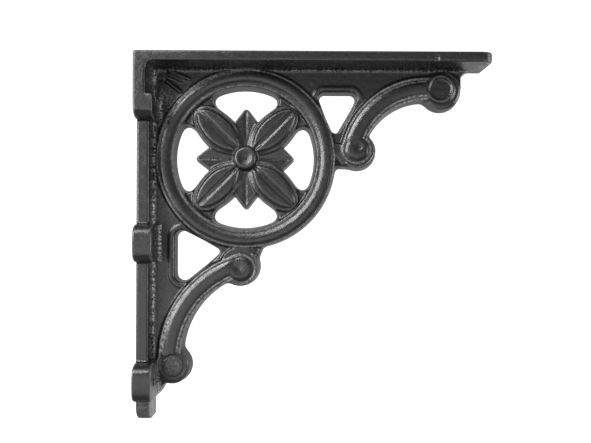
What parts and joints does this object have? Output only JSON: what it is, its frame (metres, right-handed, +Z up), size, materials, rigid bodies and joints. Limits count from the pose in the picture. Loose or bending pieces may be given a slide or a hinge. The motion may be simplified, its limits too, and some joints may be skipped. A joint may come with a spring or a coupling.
{
  "type": "cast iron shelf bracket",
  "caption": "Open-work cast iron wall bracket: wall plate with screw lugs, flat shelf plate, and a carved web with a flower roundel and scroll braces.",
  "frame": {"origin": "on the wall face of the wall plate, at half of the bracket's height and on the middle of the plate's narrow width", "axes": "+X out from the wall along the shelf plate, +Y from the carved side towards the flat back, +Z up"},
  "size_m": [0.239, 0.035, 0.249],
  "materials": {
    "black_iron": "satin black, waxed over a sand-cast skin"
  },
  "bodies": {
    "root": {"bracket_casting": "black_iron"}
  },
  "joints": []
}
